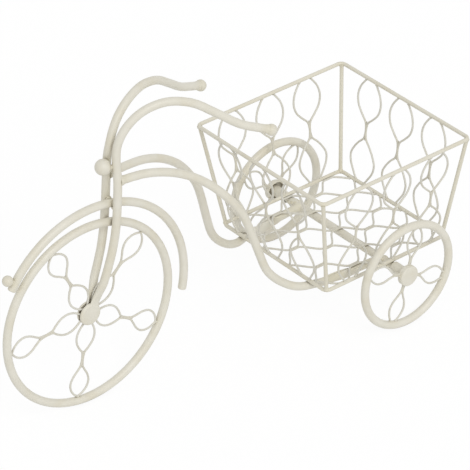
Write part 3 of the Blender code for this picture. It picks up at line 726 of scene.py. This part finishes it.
def forkRoute():
    foot = turned(fork["footTurn"]) * (forkCap["radius"] + stock["seat"])
    stand = forkStand - forkPair
    points = [Vector((foot.x, forkPair + stand * fork["footStandShare"], frontAxle.z + foot.z))]
    for rakeShare, standShare, riseShare in fork["legShares"]:
        points.append(Vector((fork["rake"] * rakeShare, forkPair + stand * standShare,
                              frontAxle.z + mudguardRise * riseShare)))
    for rakeShare, standShare, riseShare in fork["headShares"]:
        points.append(Vector((fork["rake"] * rakeShare, forkPair + stand * standShare,
                              guardTop + fork["curlRise"] * riseShare)))
    for reachShare, spreadShare, riseShare in fork["curlShares"]:
        points.append(Vector((fork["rake"] + (fork["reach"] - fork["rake"]) * reachShare,
                              forkPair + (fork["gripWidth"] / 2 - forkPair) * spreadShare,
                              guardTop + fork["curlRise"] * riseShare)))
    grip = Vector((fork["reach"], fork["gripWidth"] / 2, guardTop + fork["curlRise"] - fork["gripDrop"]))
    points.append(grip + (points[-1] - grip).normalized() * (fork["gripBall"] + stock["seat"]))
    return [ground + point for point in smoothRoute(points, 3)], ground + grip


def forkAt(height):
    for low, high in zip(forkLine, forkLine[1:]):
        if low.z <= height <= high.z:
            return low.lerp(high, (height - low.z) / (high.z - low.z)), (high - low).normalized()
    return forkLine[0], alongZ


# Where the leg passes the mudguard rod, seen from the side
def guardCrossing():
    for low, high in zip(forkLine, forkLine[1:]):
        near, far = (((point - mudguardMiddle) * sideView).length for point in (low, high))
        if near <= mudguardRadius <= far:
            return low.lerp(high, (mudguardRadius - near) / (far - near)), (high - low).normalized()
    return forkAt(guardTop)


forkLine, gripPlace = forkRoute()
# sink is how deep the foot goes into the cap, fully flat over this share of it
forkFoot = {"rise": 0.0085, "sink": 0.0030, "flatShare": 0.4, "halfThick": 0.0013, "halfWide": 0.0052,
            "squareness": 2.8, "steps": 22}


# The leg's end is pressed to the thickness of the cap and welded flush into its rim
def footShapes(foot):
    capMiddle = frontWheel["hubWidth"] / 2 + stock["seat"] + forkCap["thick"] / 2
    first = next(i for i, point in enumerate(forkLine) if (point - forkLine[0]).length > foot["rise"])
    top = forkLine[first]
    down = (forkLine[0] - top).normalized()
    reach = (forkLine[0] - top).length + foot["sink"]
    route, shapes = [], []
    for s in range(foot["steps"]):
        t = 1 - s / foot["steps"]
        blend = eased(min(1, t * reach / (reach - foot["sink"] * foot["flatShare"])))
        place = top + down * reach * t
        place.y += (capMiddle - place.y) * blend
        route.append(place)
        shapes.append(pressedShape(foot["halfThick"], foot["halfWide"], foot["squareness"], blend))
    weldPlaces.append((forkLine[0].copy(), tintReach["foot"]))
    return route, shapes, forkLine[first:]


def buildFork():
    footRoute, footSections, legLine = footShapes(forkFoot)
    end = endMarks(weldedEnd(*fork["gripWeld"]), stock["rod"])
    tip = (legLine[-1] - legLine[-2]).normalized()
    legLine = [point for point in legLine if (point - legLine[-1]).length > end[-1][0]]
    legShapes = [circle(stock["rod"])] * len(legLine)
    for length, radius in reversed(end):
        legLine.append(forkLine[-1] - tip * length)
        legShapes.append(circle(radius))
    for number, (side, hand) in enumerate(hands):
        bm = bmesh.new()
        sweep(bm, mirrored(footRoute + legLine, hand), footSections + legShapes, fork["sides"], alongY)
        finishRod(bm, "fork_rod_" + side)
        weldPlaces.append((mirror(legLine[-1], hand), tintReach["grip"]))
        bm = bmesh.new()
        addBall(bm, mirror(gripPlace, hand), fork["gripBall"])
        finishRod(bm, "grip_ball_" + side)
        place, along = guardCrossing()
        place, along = mirror(place, hand), mirror(along, hand)
        touch = Vector((place.x, place.y / 2, place.z))
        outward = ((place - mudguardMiddle) * sideView).normalized()
        guardAlong = outward.cross(alongY)
        gap = abs(place.y) - 2 * stock["rod"]
        addSaddle(frameWelds, touch, alongY * hand, ("rod", stock["rod"], along),
                  ("rod", stock["rod"], guardAlong), fork["guardWeld"], 3 + number, gap)
        for lift, seed, halves in fork["guardBeads"]:
            addBead(frameWelds, touch + outward * lift, (guardAlong, outward, alongY), halves, seed + number)
    bm = bmesh.new()
    head = boxMiddle("head_ball")
    addBall(bm, head, fork["headBall"])
    finishRod(bm, "head_ball")
    for number, (side, hand) in enumerate(hands):
        place, along = forkAt(head.z)
        place, along = mirror(place, hand), mirror(along, hand)
        toBall = (head - place).normalized()
        gap = (head - place).length - stock["rod"] - fork["headBall"]
        touch = place + toBall * (stock["rod"] + gap / 2)
        addSaddle(frameWelds, touch, toBall, ("ball", fork["headBall"], alongY),
                  ("rod", stock["rod"], along), fork["headWeld"], 7 + number, gap)


buildFork()
print("mudguard and fork built")

# Side rods and rear rails, lapped under the basket
sideRod = {
    "height": 0.0244, "railSpread": 0.1298, "railFrontSpread": 0.1172, "sides": 40,
    # depth, spread and climb of the welds on the fork and on the axle
    "rootWeld": (0.0026, 0.0009, 0.0042),
    "tabLength": 0.0247, "tabHeight": {"left": 0.0094, "right": 0.0122}, "tabThick": 0.0026,
    "taper": 0.008, "tabPlaceShare": 0.4243, "tabSquare": 7,
    # thickness left at the tip of the flattened end, and the length over which it thins
    "runOut": {"left": (0.10, 0.014), "right": (0.45, 0.006)},
    # weld that fills the near lap on its outer face: half sizes, and how far out its middle stands
    "fill": {"length": 0.0125, "width": 0.0032, "height": 0.0042, "out": 0.0007},
    # welds along the axle from each rail outward: place, half length, half height, how far up they lean
    "axleBeads": ((0.0694, 0.0027, 0.0013, 0.9), (0.0742, 0.0024, 0.0011, 0.4),
                  (0.0792, 0.0026, 0.0012, -0.1)),
    "beadWidthShare": 0.9, "beadSunk": 0.0004,
    # along, outward and down from the root to the start of the flattened end
    "shares": ((0.1076, 0.0432, 0.0080), (0.2114, 0.1217, 0.0340), (0.3144, 0.2062, 0.0857),
               (0.4189, 0.3042, 0.1705), (0.5234, 0.4632, 0.3017), (0.5925, 0.5417, 0.4276),
               (0.6333, 0.5958, 0.5622), (0.6667, 0.6492, 0.6961), (0.7110, 0.6968, 0.8353),
               (0.7878, 0.7624, 0.9344), (0.8419, 0.8177, 0.9772), (0.8991, 0.8729, 0.9987),
               (0.9375, 0.9222, 1.0000), (0.9745, 0.9735, 1.0000)),
}
floorLow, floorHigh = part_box("basket_floor_frame")
floorLength = floorHigh.x - floorLow.x - 2 * stock["basket"]
floorWidth = floorHigh.y - floorLow.y - 2 * stock["basket"]
topLow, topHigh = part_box("basket_top_rim")
topLength = topHigh.x - topLow.x - 2 * stock["basket"]
topWidth = topHigh.y - topLow.y - 2 * stock["basket"]
railFront = Vector((basketFloor.x - floorLength / 2, sideRod["railFrontSpread"] / 2, rearAxle.z))
railRear = Vector((rearAxle.x, sideRod["railSpread"] / 2, rearAxle.z))
railRun = (railRear - railFront).normalized()
tabOut = alongZ.cross(railRun)
tabOffset = (sideRod["tabThick"] + stock["seat"]) / 2
lapMiddle = railFront.lerp(railRear, sideRod["tabPlaceShare"])


# The round rod is pressed flat over a short taper and ends in a half round
def pressedEnd(run, offset, side):
    halfThick, halfHigh = sideRod["tabThick"] / 2, sideRod["tabHeight"][side] / 2
    square = sideRod["tabSquare"]
    middle = lapMiddle + tabOut * offset - alongZ * (halfHigh - stock["rod"])
    begin = middle - run * sideRod["tabLength"] / 2
    taperStart = lapMiddle - run * (sideRod["tabLength"] / 2 + sideRod["taper"])
    route, shapes = [], []
    steps = 14
    for s in range(steps + 1):
        t = s / steps
        blend = eased(t)
        route.append(taperStart.lerp(begin, t) + (begin - taperStart - run * sideRod["taper"]) * (blend - t))
        shapes.append(pressedShape(halfThick, halfHigh, square, blend))
    straight = sideRod["tabLength"] - halfHigh
    marks = [(straight * i / 8, halfHigh, square) for i in range(1, 8)]
    for turn in range(0, 90, 9):
        marks.append((straight + halfHigh * math.sin(math.radians(turn)),
                      halfHigh * math.cos(math.radians(turn)), square - 3 * turn / 90))
    tipShare, feather = sideRod["runOut"][side]
    for away, high, squareness in marks:
        full = min(1, (sideRod["tabLength"] - away) / feather)
        thin = min(halfThick * (tipShare + (1 - tipShare) * full), high)
        route.append(begin + run * away - tabOut * math.copysign(halfThick - thin, offset))
        shapes.append(flatShape(thin, high, squareness))
    return route, shapes


def buildSideRods():
    root = forkAt(guardTop + sideRod["height"])[0] + alongX * (rodCorner + stock["seat"])
    drop = lapMiddle - railRun * (sideRod["tabLength"] / 2 + sideRod["taper"]) - root
    points = [root] + [root + Vector((drop.x * a, drop.y * b, drop.z * c)) for a, b, c in sideRod["shares"]]
    line = smoothRoute(points + [root + drop], 3)[:-1]
    # the root swells into its weld on the fork
    outward = (line[1] - line[0]).normalized()
    marks = endMarks(weldedEnd(stock["seat"], *sideRod["rootWeld"]), stock["rod"])
    line = [root + outward * length for length, radius in marks] + \
        [point for point in line if (point - root).length > marks[-1][0] + stock["rod"] / 4]
    swell = [circle(radius) for length, radius in marks]
    for side, hand in hands:
        tabRoute, tabShapes = pressedEnd(railRun, -tabOffset, side)
        bm = bmesh.new()
        shapes = swell + [circle(stock["rod"])] * (len(line) - len(swell)) + tabShapes
        sweep(bm, mirrored(line + tabRoute, hand), shapes, sideRod["sides"], alongY)
        weldPlaces.append((mirror(root, hand), tintReach["root"]))
        finishRod(bm, "frame_rod_" + side)
        tabRoute, tabShapes = pressedEnd(-railRun, tabOffset, side)
        railEnd = railRear - railRun * rodCorner
        bm = bmesh.new()
        route = mirrored([railEnd - railRun * length for length, radius in marks] + tabRoute, hand)
        sweep(bm, route, swell + tabShapes, sideRod["sides"], alongY)
        weldPlaces.append((mirror(railEnd, hand), tintReach["rail"]))
        finishRod(bm, "rear_rail_" + side)
        # only the near lap shows as a filled band
        if side == "left":
            fill = sideRod["fill"]
            seam = lapMiddle - railRun * sideRod["tabLength"] / 2 + tabOut * fill["out"]
            ends = mirrored([seam - railRun * fill["length"], seam + railRun * fill["length"]], hand)
            across = mirror(tabOut, hand)
            addWeb(frameWelds, *ends, across, fill["width"], fill["height"])
        for number, (y, half, high, lean) in enumerate(sideRod["axleBeads"]):
            for face in (-1, 1):
                across = (alongX * face + alongZ * lean).normalized()
                place = rearAxle + alongY * hand * y + across * (stock["rod"] - sideRod["beadSunk"])
                addBead(frameWelds, place, (alongY, across, across.cross(alongY)),
                        (half, high, half * sideRod["beadWidthShare"]), 20 + number + 7 * face + 3 * hand)


buildSideRods()
print("side rods and rails built")

# Basket
basket = {
    "cornerRadius": 0.006, "cornerSteps": 10, "loopSides": 24, "postSides": 20,
    "loopHalf": 0.0185, "sidePitchShare": 0.3137, "endPitchShare": 0.3053,
    "shift": {"left": 0.0032, "right": -0.0040, "front": 0.0008, "rear": 0.0012},
    # how far down the side and how wide open each wire of a pair is
    "sideShares": ((0, 0.44), (0.080, 0.80), (0.185, 0.97), (0.275, 0.82), (0.350, 0.42), (0.418, 0.03),
                   (0.435, 0), (0.550, 0), (0.567, 0.03), (0.635, 0.42), (0.705, 0.76), (0.790, 1),
                   (0.870, 0.92), (0.940, 0.66), (1, 0.40)),
    "weldShares": (0.395, 0.590),
    "meshRows": 9, "meshSteps": 150, "cell": 0.0284, "joint": 0.0085, "meshOffset": 0.003, "webShare": 0.62,
    # depth, spread and climb of the welds at the wires' and posts' ends
    "postWeld": (0.00126, 0.0007, 0.0026), "wireWeld": (0.0010, 0.00045, 0.0018),
    "meshWeld": (0.0010, 0.0004, 0.0016),
}


def loopRoute(middle, length, width):
    route = []
    radius = basket["cornerRadius"]
    for i, (a, b) in enumerate(((1, 1), (-1, 1), (-1, -1), (1, -1))):
        centre = middle + Vector((a * (length / 2 - radius), b * (width / 2 - radius), 0))
        for s in range(basket["cornerSteps"] + 1):
            turn = math.radians(90 * i + 90 * s / basket["cornerSteps"])
            route.append(centre + radius * Vector((math.cos(turn), math.sin(turn), 0)))
    return route


def buildLoops():
    for node, middle, length, width in (("basket_top_rim", basketTop, topLength, topWidth),
                                        ("basket_floor_frame", basketFloor, floorLength, floorWidth)):
        route = loopRoute(middle, length, width)
        bm = bmesh.new()
        sweep(bm, route, [circle(stock["basket"])] * len(route), basket["loopSides"], alongZ, closed=True)
        finishRod(bm, node)


def buildPosts():
    inset = basket["cornerRadius"] * (1 - math.sqrt(0.5))
    weld = weldedEnd(0, *basket["postWeld"])
    for end, a in (("front", -1), ("rear", 1)):
        for side, hand in hands:
            start = basketFloor + Vector((a * (floorLength / 2 - inset), hand * (floorWidth / 2 - inset), 0))
            stop = basketTop + Vector((a * (topLength / 2 - inset), hand * (topWidth / 2 - inset), 0))
            seat = (stop - start).normalized() * stock["basket"]
            bm = bmesh.new()
            addRod(bm, [start + seat, stop - seat], stock["basket"], basket["postSides"], alongY, weld, weld)
            finishRod(bm, "post_" + end + "_" + side)


def buildSideWires():
    places = {
        "left": (-alongY, alongX, topWidth, floorWidth, ("front", "middle", "rear")),
        "right": (alongY, alongX, topWidth, floorWidth, ("front", "middle", "rear")),
        "front": (-alongX, alongY, topLength, floorLength, ("left", "middle", "right")),
        "rear": (alongX, alongY, topLength, floorLength, ("left", "middle", "right")),
    }
    shares = basket["sideShares"]
    for side, (outward, sideways, topSpan, floorSpan, names) in places.items():
        hang = basketTop + outward * topSpan / 2
        land = basketFloor + outward * floorSpan / 2
        if outward.x == 0:
            land.x = hang.x
            pitch = floorLength * basket["sidePitchShare"]
        else:
            pitch = floorWidth * basket["endPitchShare"]
        slope, length = (land - hang).normalized(), (land - hang).length
        topSeat = basketCorner + stock["seat"] + slantedEnd(*shares[:2], length, basket["loopHalf"])
        floorSeat = basketCorner + stock["seat"] + slantedEnd(*shares[-2:], length, basket["loopHalf"])
        for number, name in enumerate(names, start=-1):
            centre = hang + sideways * (number * pitch + basket["shift"][side])
            bm = bmesh.new()
            for hand in (-1, 1):
                points = []
                for downShare, openShare in shares:
                    down = topSeat + (length - topSeat - floorSeat) * downShare
                    apart = stock["pair"] + (basket["loopHalf"] - stock["pair"]) * openShare
                    points.append(centre + slope * down + sideways * hand * apart)
                addRod(bm, smoothRoute(points), stock["wire"], stock["wireSides"], slope.cross(sideways),
                       weldedEnd(topSeat - stock["basket"], *basket["wireWeld"]),
                       weldedEnd(floorSeat - stock["basket"], *basket["wireWeld"]))
            start, stop = (centre + slope * (topSeat + (length - topSeat - floorSeat) * share)
                           for share in basket["weldShares"])
            addWeb(bm, start, stop, sideways, webWidth, webThick)
            finishWire(bm, side + "_side_wires_" + name)


rowPitch = floorWidth / (basket["meshRows"] - 1)
jointShare = basket["joint"] / 2 / basket["cell"]


def jointY(wire, column):
    row = wire if (wire + column) % 2 == 0 else wire + 1
    inward = 1 if row == wire else -1
    atFrame = row in (0, basket["meshRows"] - 1)
    apart = stock["basket"] + stock["wire"] if atFrame else stock["pair"]
    return row * rowPitch - floorWidth / 2 + inward * apart


def meshY(wire, x):
    columns = (x - basket["meshOffset"]) / basket["cell"]
    column = math.floor(columns)
    blend = eased(min(max((columns - column - jointShare) / (1 - 2 * jointShare), 0), 1))
    return jointY(wire, column) * (1 - blend) + jointY(wire, column + 1) * blend


def buildFloorMesh():
    stopX = floorLength / 2 - stock["basket"]
    level = basketFloor + alongZ * (wireCorner - stock["basket"])
    bm = bmesh.new()
    steps = basket["meshSteps"]
    weld = weldedEnd(0, *basket["meshWeld"])
    for wire in range(basket["meshRows"] - 1):
        route = []
        for s in range(steps + 1):
            x = -stopX + 2 * stopX * s / steps
            route.append(level + Vector((x, meshY(wire, x), 0)))
        addRod(bm, route, stock["wire"], stock["wireSides"], alongY, weld, weld)
    columns = math.ceil((floorLength / 2 + basket["meshOffset"]) / basket["cell"])
    for column in range(-columns, columns + 1):
        x = column * basket["cell"] + basket["meshOffset"]
        for wire in range(basket["meshRows"] - 1):
            row = wire if (wire + column) % 2 == 0 else wire + 1
            if row != wire or row == 0 or abs(x) > stopX - basket["joint"] / 2:
                continue
            y = row * rowPitch - floorWidth / 2
            half = basket["joint"] * basket["webShare"]
            addWeb(bm, level + Vector((x - half, y, 0)), level + Vector((x + half, y, 0)), alongY,
                   webWidth, webThick)
    finishWire(bm, "floor_mesh")


buildLoops()
buildPosts()
buildSideWires()
buildFloorMesh()
print("basket built")

finishPiece("painted_frame_welds", frameWelds, rodPaint, "painted_rod", body="frame")


# How near each point of the paint lies to a weld
def markWelds():
    tree = kdtree.KDTree(len(weldPlaces))
    for i, (place, size) in enumerate(weldPlaces):
        tree.insert(place, i)
    tree.balance()
    for piece in paintedPieces:
        near = piece.data.attributes.new("nearWeld", "FLOAT", "POINT")
        values = []
        for vertex in piece.data.vertices:
            i, far = tree.find(vertex.co)[1:]
            values.append(math.exp(-(far / weldPlaces[i][1]) ** 2))
        near.data.foreach_set("value", values)


markWelds()
print("welds marked:", len(weldPlaces))

# Stage, light and camera
studio = {
    "floorSize": 30, "floorDrop": 0.0001,
    "floorGrey": 0.86,       # what the floor throws back at the object
    "glow": 0.90,            # how far the floor shines white by itself in the picture
    "shine": 1.012,
    "ambient": 0.64,
    "lampDistance": 2,
    # azimuth and elevation it shines from, spread in degrees, strength
    "keyLight": (-14, 42, 32, 0.98),
    "fillLight": (-50, 22, 70, 0.15),
}
shot = {"azimuth": -38.67, "elevation": 33.265, "roll": -0.918, "distance": 3.704,
        "target": (0.03063, 0, 0.1171), "lens": 279.2, "sensor": 36, "clipEnd": 60}


# 1 where the camera sees the surface itself, in gloss or through glass
def seenDirectly(material):
    path = addNode(material, "ShaderNodeLightPath")
    seen = [path.outputs[name] for name in ("Is Camera Ray", "Is Glossy Ray", "Is Transmission Ray")]
    for i in (1, 2):
        either = addNode(material, "ShaderNodeMath", operation="MAXIMUM")
        material.node_tree.links.new(seen[0], either.inputs[0])
        material.node_tree.links.new(seen[i], either.inputs[1])
        seen[0] = either.outputs[0]
    return seen[0]


def makeFloor():
    material = bpy.data.materials.new("pale_floor")
    material.use_nodes = True
    link = material.node_tree.links.new
    shader = material.node_tree.nodes["Principled BSDF"]
    shader.inputs["Roughness"].default_value = 1
    shader.inputs["Specular IOR Level"].default_value = 0
    seen = seenDirectly(material)
    colour = addNode(material, "ShaderNodeMix", data_type="RGBA")
    colour.inputs["A"].default_value = (*[studio["floorGrey"]] * 3, 1)
    colour.inputs["B"].default_value = (1, 1, 1, 1)
    link(seen, colour.inputs["Factor"])
    link(colour.outputs["Result"], shader.inputs["Base Color"])
    shine = addNode(material, "ShaderNodeEmission", Strength=studio["shine"])
    share = addNode(material, "ShaderNodeMath", operation="MULTIPLY")
    share.inputs[1].default_value = studio["glow"]
    link(seen, share.inputs[0])
    both = addNode(material, "ShaderNodeMixShader")
    link(share.outputs[0], both.inputs["Fac"])
    link(shader.outputs["BSDF"], both.inputs[1])
    link(shine.outputs["Emission"], both.inputs[2])
    link(both.outputs["Shader"], material.node_tree.nodes["Material Output"].inputs["Surface"])
    bm = bmesh.new()
    bmesh.ops.create_grid(bm, x_segments=4, y_segments=4, size=studio["floorSize"] / 2)
    mesh = bpy.data.meshes.new("studio_floor")
    bm.to_mesh(mesh)
    bm.free()
    mesh.materials.append(material)
    floor = bpy.data.objects.new("studio_floor", mesh)
    floor.location = (0, 0, -studio["floorDrop"])
    bpy.context.scene.collection.objects.link(floor)


def makeWorld():
    world = bpy.data.worlds.new("white_studio")
    world.use_nodes = True
    background = world.node_tree.nodes["Background"]
    strength = addNode(world, "ShaderNodeMapRange", To_Min=studio["ambient"], To_Max=1)
    world.node_tree.links.new(seenDirectly(world), strength.inputs["Value"])
    world.node_tree.links.new(strength.outputs["Result"], background.inputs["Strength"])
    background.inputs["Color"].default_value = (1, 1, 1, 1)
    bpy.context.scene.world = world


def directionFrom(azimuthDegrees, elevationDegrees):
    azimuth, elevation = math.radians(azimuthDegrees), math.radians(elevationDegrees)
    return Vector((math.sin(azimuth) * math.cos(elevation), -math.cos(azimuth) * math.cos(elevation),
                   math.sin(elevation)))


def makeLight(name, azimuth, elevation, spread, strength):
    lamp = bpy.data.lights.new(name, "SUN")
    lamp.angle = math.radians(spread)
    lamp.energy = strength
    lit = bpy.data.objects.new(name, lamp)
    lit.location = Vector(shot["target"]) + directionFrom(azimuth, elevation) * studio["lampDistance"]
    lit.rotation_mode = "QUATERNION"
    lit.rotation_quaternion = directionFrom(azimuth, elevation).to_track_quat("Z", "Y")
    bpy.context.scene.collection.objects.link(lit)


def makeCamera():
    back, roll = directionFrom(shot["azimuth"], shot["elevation"]), math.radians(shot["roll"])
    level = (-back).cross(alongZ).normalized()
    upward = level.cross(-back)
    right = level * math.cos(roll) + upward * math.sin(roll)
    up = upward * math.cos(roll) - level * math.sin(roll)
    data = bpy.data.cameras.new("photo_camera")
    data.lens = shot["lens"]
    data.sensor_width = shot["sensor"]
    data.clip_end = shot["clipEnd"]
    camera = bpy.data.objects.new("photo_camera", data)
    place = Vector(shot["target"]) + back * shot["distance"]
    turn = Matrix((right, up, back)).transposed().to_4x4()
    camera.matrix_world = Matrix.Translation(place) @ turn
    bpy.context.scene.collection.objects.link(camera)
    bpy.context.scene.camera = camera


makeFloor()
makeWorld()
makeLight("key_light", *studio["keyLight"])
makeLight("fill_light", *studio["fillLight"])
makeCamera()
bpy.context.scene.view_settings.view_transform = "Standard"
print("studio set")
